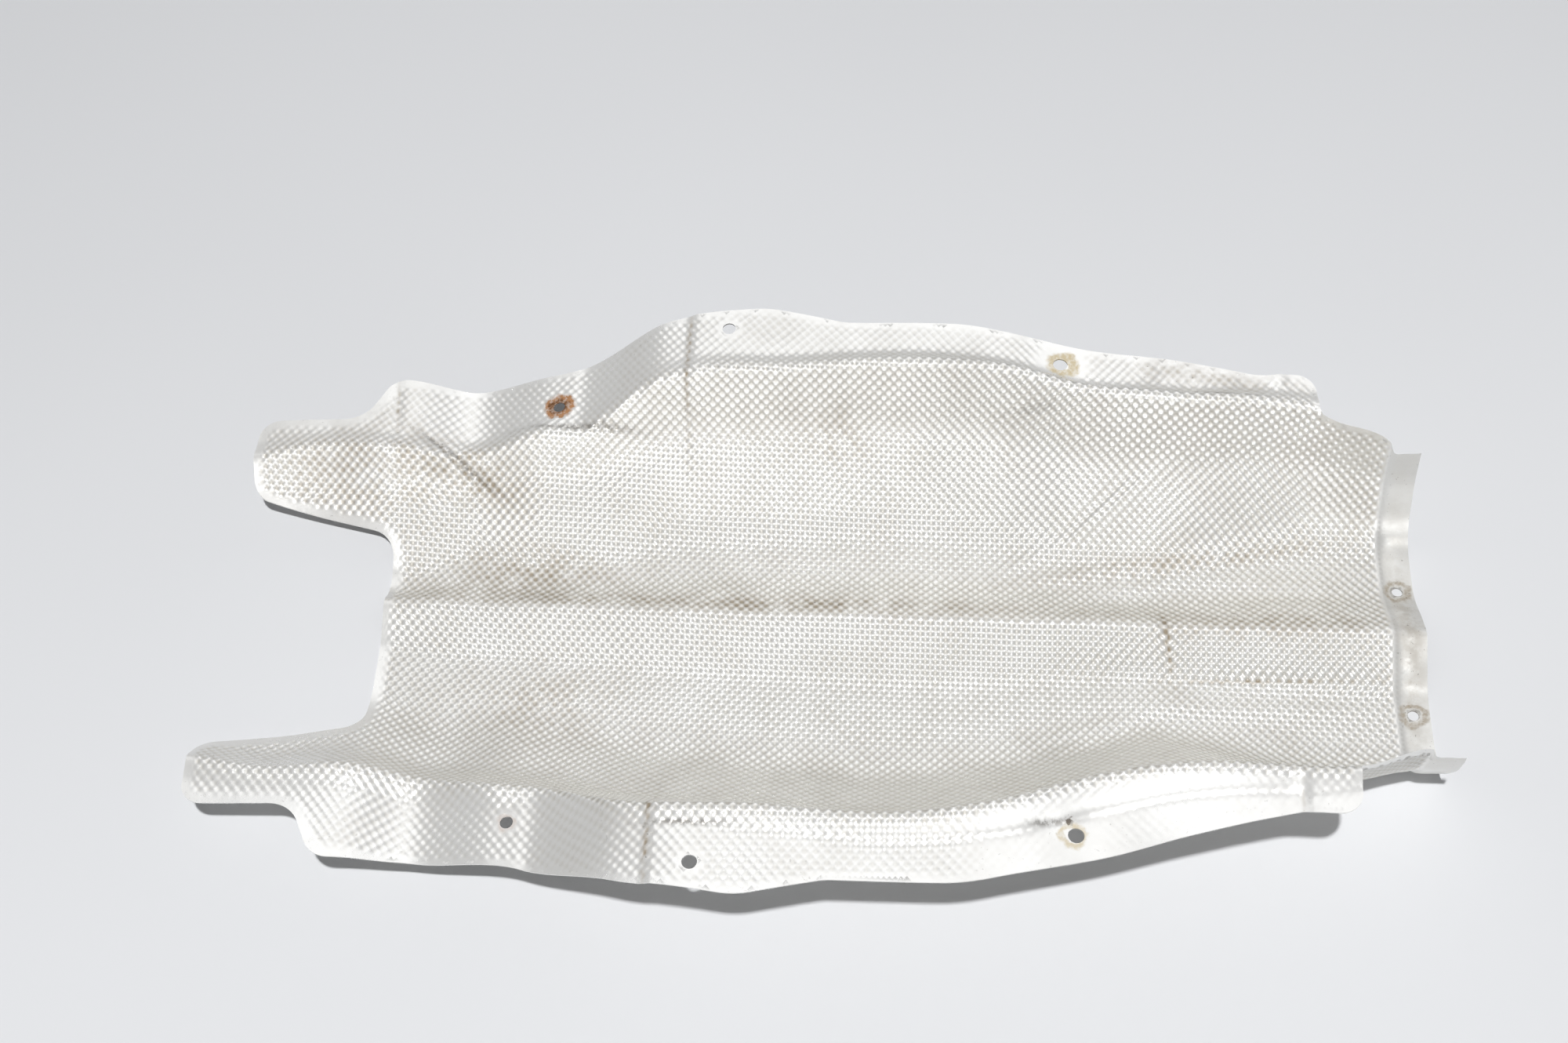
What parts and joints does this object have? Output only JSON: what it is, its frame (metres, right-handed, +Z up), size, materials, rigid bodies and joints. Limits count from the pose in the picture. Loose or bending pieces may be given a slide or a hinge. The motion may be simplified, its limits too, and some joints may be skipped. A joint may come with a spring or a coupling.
{
  "type": "exhaust heat shield",
  "caption": "One-piece stamped and embossed aluminium heat shield: a ridged trough with folded walls, level bolt flanges, two ears beside a notch and a narrow plain end lip.",
  "frame": {"origin": "middle of the bounding box on the floor plane, the trough lying with its hollow side up", "axes": "+X from the notched ear end to the narrow lip end, +Y to the far flange, +Z up out of the trough"},
  "size_m": [0.77, 0.4262, 0.0974],
  "materials": {
    "sheet": "satin"
  },
  "bodies": {
    "root": {"heat_shield": "sheet"}
  },
  "joints": []
}
